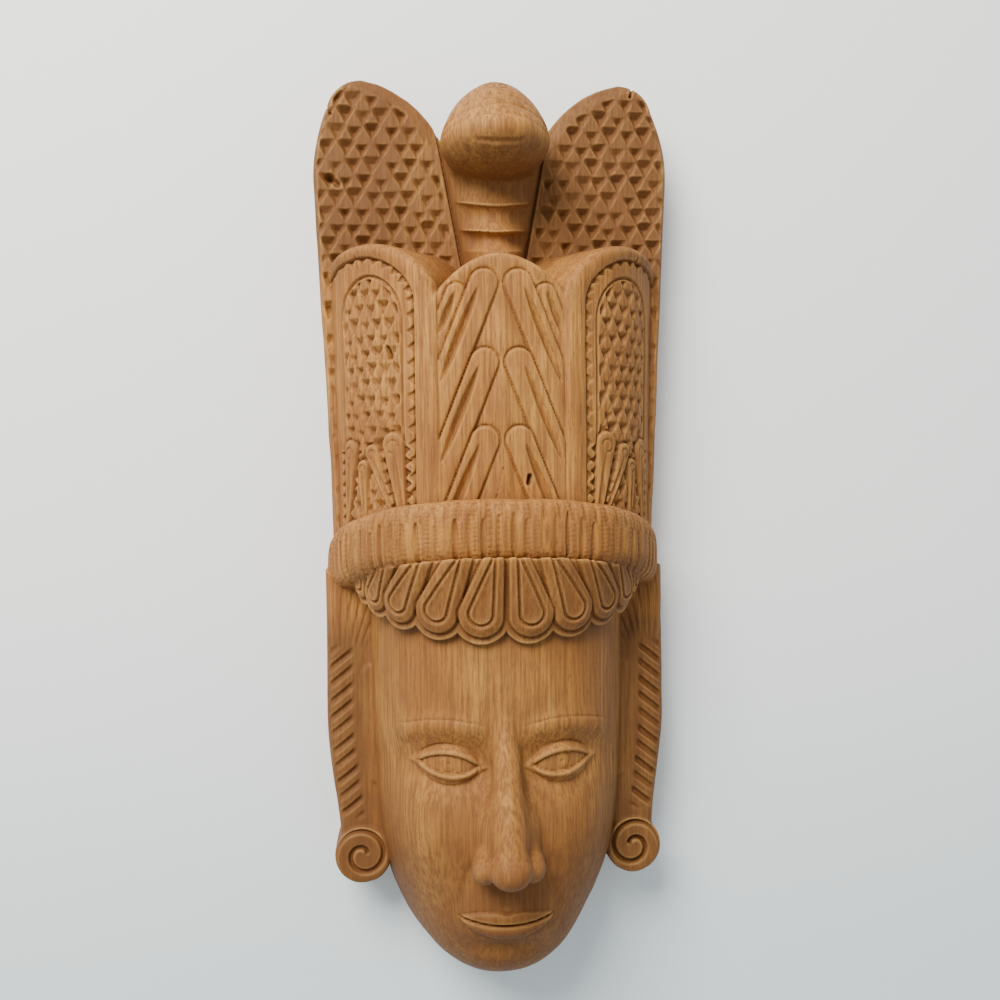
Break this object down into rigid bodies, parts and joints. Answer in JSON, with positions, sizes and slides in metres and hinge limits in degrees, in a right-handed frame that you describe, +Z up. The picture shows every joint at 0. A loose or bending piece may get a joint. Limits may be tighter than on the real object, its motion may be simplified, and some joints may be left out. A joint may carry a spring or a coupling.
{
  "type": "carved wooden wall mask",
  "caption": "Carved wooden wall mask: human face under a tall leaf-carved crown and a snake's spread hood, with a swinging hanging ring on its hollowed back.",
  "frame": {"origin": "on the flat back, on the centre line, on the land between the hanger recess and the hollow behind the face", "axes": "+Z up as the mask hangs, the carved front faces -Y, the flat back lies on the plane y = 0 and faces +Y, +X to the viewer's right"},
  "size_m": [0.154, 0.0886, 0.3851],
  "materials": {
    "carved_wood": "satin",
    "plated_strap": "satin",
    "plated_wire": "satin",
    "plated_screws": "satin"
  },
  "bodies": {
    "mask": {"mask_block": "carved_wood", "hanger_strap": "plated_strap", "hanger_screws": "plated_screws"},
    "ring": {"hanger_ring": "plated_wire"}
  },
  "joints": [
    {"name": "ring_swing", "type": "hinge", "parent": "mask", "child": "ring", "pos_m": [0, -0.00372, 0.092], "axis": [1, 0, 0], "range_deg": [0, 180]}
  ]
}
